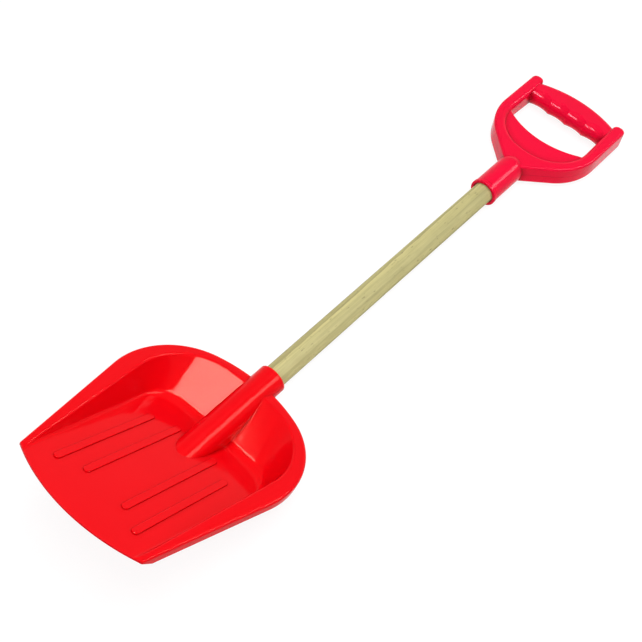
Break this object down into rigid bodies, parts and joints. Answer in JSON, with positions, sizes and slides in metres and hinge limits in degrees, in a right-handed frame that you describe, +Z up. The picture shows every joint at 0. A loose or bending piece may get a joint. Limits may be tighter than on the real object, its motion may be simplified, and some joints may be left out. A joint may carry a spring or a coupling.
{
  "type": "sand shovel",
  "caption": "Child's sand shovel: a deep moulded scoop with a turned-down rim and floor ribs, a round wooden shaft and a moulded D-handle with finger grooves, lying on its back.",
  "frame": {"origin": "middle of the base of the bounding box, at the level of the surface that the shovel lies on, halfway from the cutting edge to the grip", "axes": "+Y runs from the scoop to the D-handle, along the shaft's centre line, +Z is up and out of the scoop's hollow, +X is to the right seen from the scoop"},
  "size_m": [0.1874, 0.713, 0.0985],
  "materials": {
    "scoop_plastic": "moulded gloss, saturated red",
    "pine": "turned pine under a thin clear varnish",
    "handle_plastic": "moulded gloss, slightly pinker red",
    "screw_steel": "zinc-plated"
  },
  "bodies": {
    "root": {"scoop": "scoop_plastic", "shaft": "pine", "handle": "handle_plastic", "scoop_screw": "screw_steel", "handle_screw": "screw_steel"}
  },
  "joints": []
}
